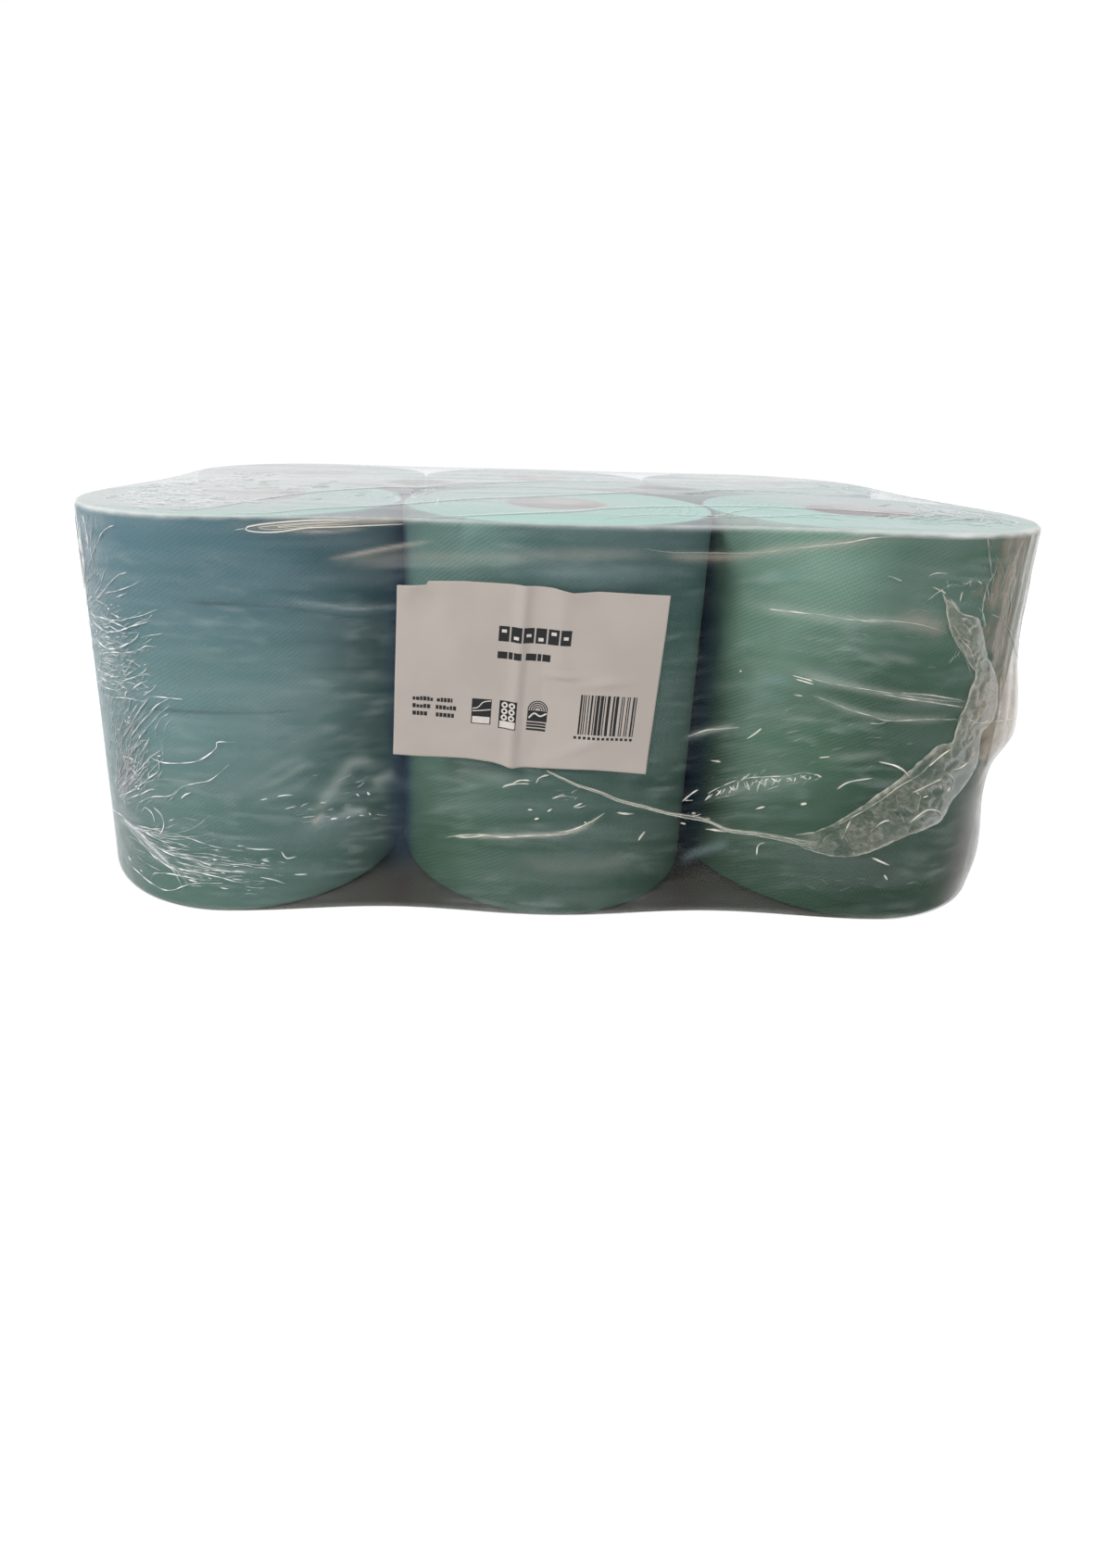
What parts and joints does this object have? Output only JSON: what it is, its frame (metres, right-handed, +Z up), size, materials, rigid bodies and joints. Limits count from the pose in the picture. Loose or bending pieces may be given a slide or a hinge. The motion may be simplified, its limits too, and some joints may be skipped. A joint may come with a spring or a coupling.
{
  "type": "wipe roll pack",
  "caption": "Block of wide paper wipe rolls standing on end, wound on card cores and shrink-wrapped in clear film, with a paper label on the front.",
  "frame": {"origin": "centre of the pack's footprint, on the floor it stands on", "axes": "+X along the pack's long side, to the right as its label is read; +Y from the label's side to the back; +Z up along the rolls"},
  "size_m": [0.5777, 0.3842, 0.2331],
  "materials": {
    "roll_paper": "matt, embossed tissue",
    "core_card": "matt",
    "film": "clear, glossy",
    "seal": "clear, crinkled",
    "label_paper": "satin"
  },
  "bodies": {
    "root": {"roll_front_left": "roll_paper", "roll_front_middle": "roll_paper", "roll_front_right": "roll_paper", "roll_back_left": "roll_paper", "roll_back_middle": "roll_paper", "roll_back_right": "roll_paper", "core_front_left": "core_card", "core_front_middle": "core_card", "core_front_right": "core_card", "core_back_left": "core_card", "core_back_middle": "core_card", "core_back_right": "core_card", "film_wrap": "film", "film_seal": "seal", "label": "label_paper"}
  },
  "joints": []
}
